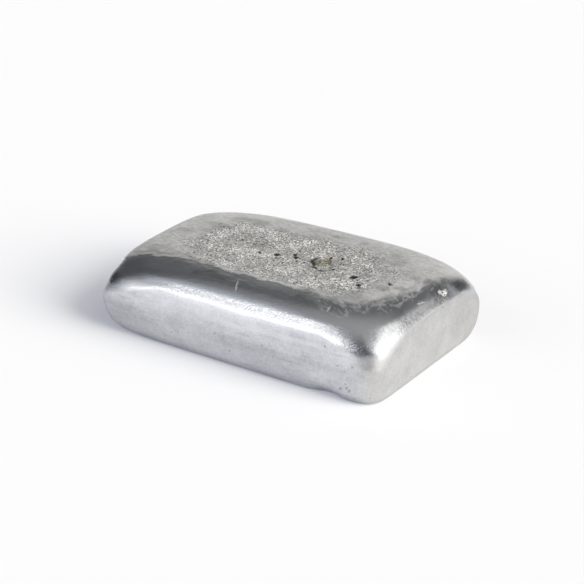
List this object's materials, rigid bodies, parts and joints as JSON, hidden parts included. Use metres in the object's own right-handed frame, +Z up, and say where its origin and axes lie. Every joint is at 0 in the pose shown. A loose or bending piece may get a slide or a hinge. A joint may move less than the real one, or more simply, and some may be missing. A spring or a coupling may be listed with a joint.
{
  "type": "aluminium casting bar",
  "caption": "Raw aluminium casting bar: a small open-mould ingot with drafted sides, a rolled-over shoulder and a frosty shrinkage zone with pits on top.",
  "frame": {"origin": "middle of the flat base that the bar lies on", "axes": "+X along the length towards the slightly taller end, +Y across the width away from the front side, +Z up from the base to the free-set top"},
  "size_m": [0.09, 0.0564, 0.0225],
  "materials": {
    "aluminium": "as cast"
  },
  "bodies": {
    "root": {"casting_bar": "aluminium"}
  },
  "joints": []
}
